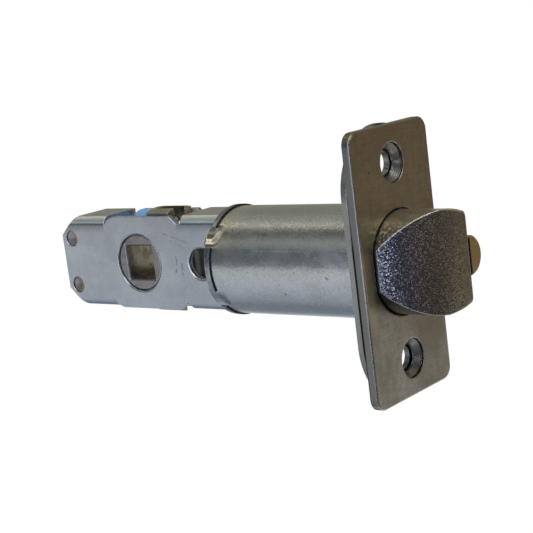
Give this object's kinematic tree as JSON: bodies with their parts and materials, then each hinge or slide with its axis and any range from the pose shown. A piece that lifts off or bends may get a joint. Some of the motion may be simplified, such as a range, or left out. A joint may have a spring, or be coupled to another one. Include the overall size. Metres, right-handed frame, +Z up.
{
  "type": "tubular door latch",
  "caption": "Tubular door latch with a bevelled spring bolt, a deadlatch plunger, a mortise front plate, a barrel, and a flat case with a square spindle hub.",
  "frame": {"origin": "centre of the front plate's front face, on the latch's axis and midway between the two screw holes", "axes": "+X along the latch's axis, the way the bolt points; +Z up along the front plate; the bolt's bevel looks along -Y"},
  "size_m": [0.1075, 0.0286, 0.0578],
  "materials": {
    "face_stainless": "satin stainless steel, dark from what it reflects",
    "back_zinc": "zinc-plated steel sheet",
    "barrel_zinc": "zinc-plated drawn tube, faintly mottled",
    "case_zinc": "zinc-plated steel sheet, satin, blue-grey",
    "rivet_steel": "plain steel, upset end",
    "hub_metal": "cast zinc alloy, satin, warm grey",
    "retractor_bronze": "sintered bronze-brown metal, matt",
    "bolt_metal": "dark sintered metal on the bevel, smooth tan-brown on its sides",
    "plunger_brass": "tan brass, satin",
    "inner_steel": "plain steel sheet and wire",
    "spring_steel": "drawn spring wire"
  },
  "bodies": {
    "housing": {"face_plate": "face_stainless", "back_plate": "back_zinc", "barrel": "barrel_zinc", "end_ring": "barrel_zinc", "case_channel": "case_zinc", "case_cover": "case_zinc", "case_rivets": "rivet_steel", "guide_plate": "inner_steel", "lever_pin": "inner_steel", "bolt_spring": "spring_steel", "plunger_spring": "spring_steel"},
    "latch_bolt": {"latch_bolt": "bolt_metal", "bolt_bar": "inner_steel", "bolt_pin": "inner_steel"},
    "retractor": {"retractor": "retractor_bronze"},
    "hub": {"hub": "hub_metal"},
    "plunger": {"plunger": "plunger_brass", "plunger_bar": "inner_steel", "plunger_rivet": "inner_steel"},
    "deadlock_lever": {"deadlock_lever": "inner_steel"}
  },
  "joints": [
    {"name": "bolt_slide", "type": "slide", "parent": "housing", "child": "latch_bolt", "axis": [-1, 0, 0], "range_m": [0, 0.0127], "stiffness_N_per_m": 300, "springref_m": -0.01, "deforming": ["bolt_spring"]},
    {"name": "retractor_slide", "type": "slide", "parent": "housing", "child": "retractor", "axis": [-1, 0, 0], "range_m": [0, 0.0127]},
    {"name": "hub_turn", "type": "hinge", "parent": "housing", "child": "hub", "pos_m": [-0.06985, 0, 0], "axis": [0, -1, 0], "range_deg": [0, 74.41]},
    {"name": "plunger_slide", "type": "slide", "parent": "housing", "child": "plunger", "axis": [-1, 0, 0], "range_m": [0, 0.0122], "stiffness_N_per_m": 150, "springref_m": -0.01, "deforming": ["plunger_spring"]},
    {"name": "deadlock_drop", "type": "hinge", "parent": "housing", "child": "deadlock_lever", "pos_m": [-0.034, 0, 0.0056], "axis": [0, -1, 0], "range_deg": [0, 20.51]}
  ],
  "couplings": [
    {"joint": "retractor_slide", "follows": "bolt_slide", "ratio": 1},
    {"joint": "hub_turn", "follows": "bolt_slide", "rad_per_m": 102.24},
    {"joint": "deadlock_drop", "follows": "plunger_slide", "rad_per_m": 29.32}
  ]
}
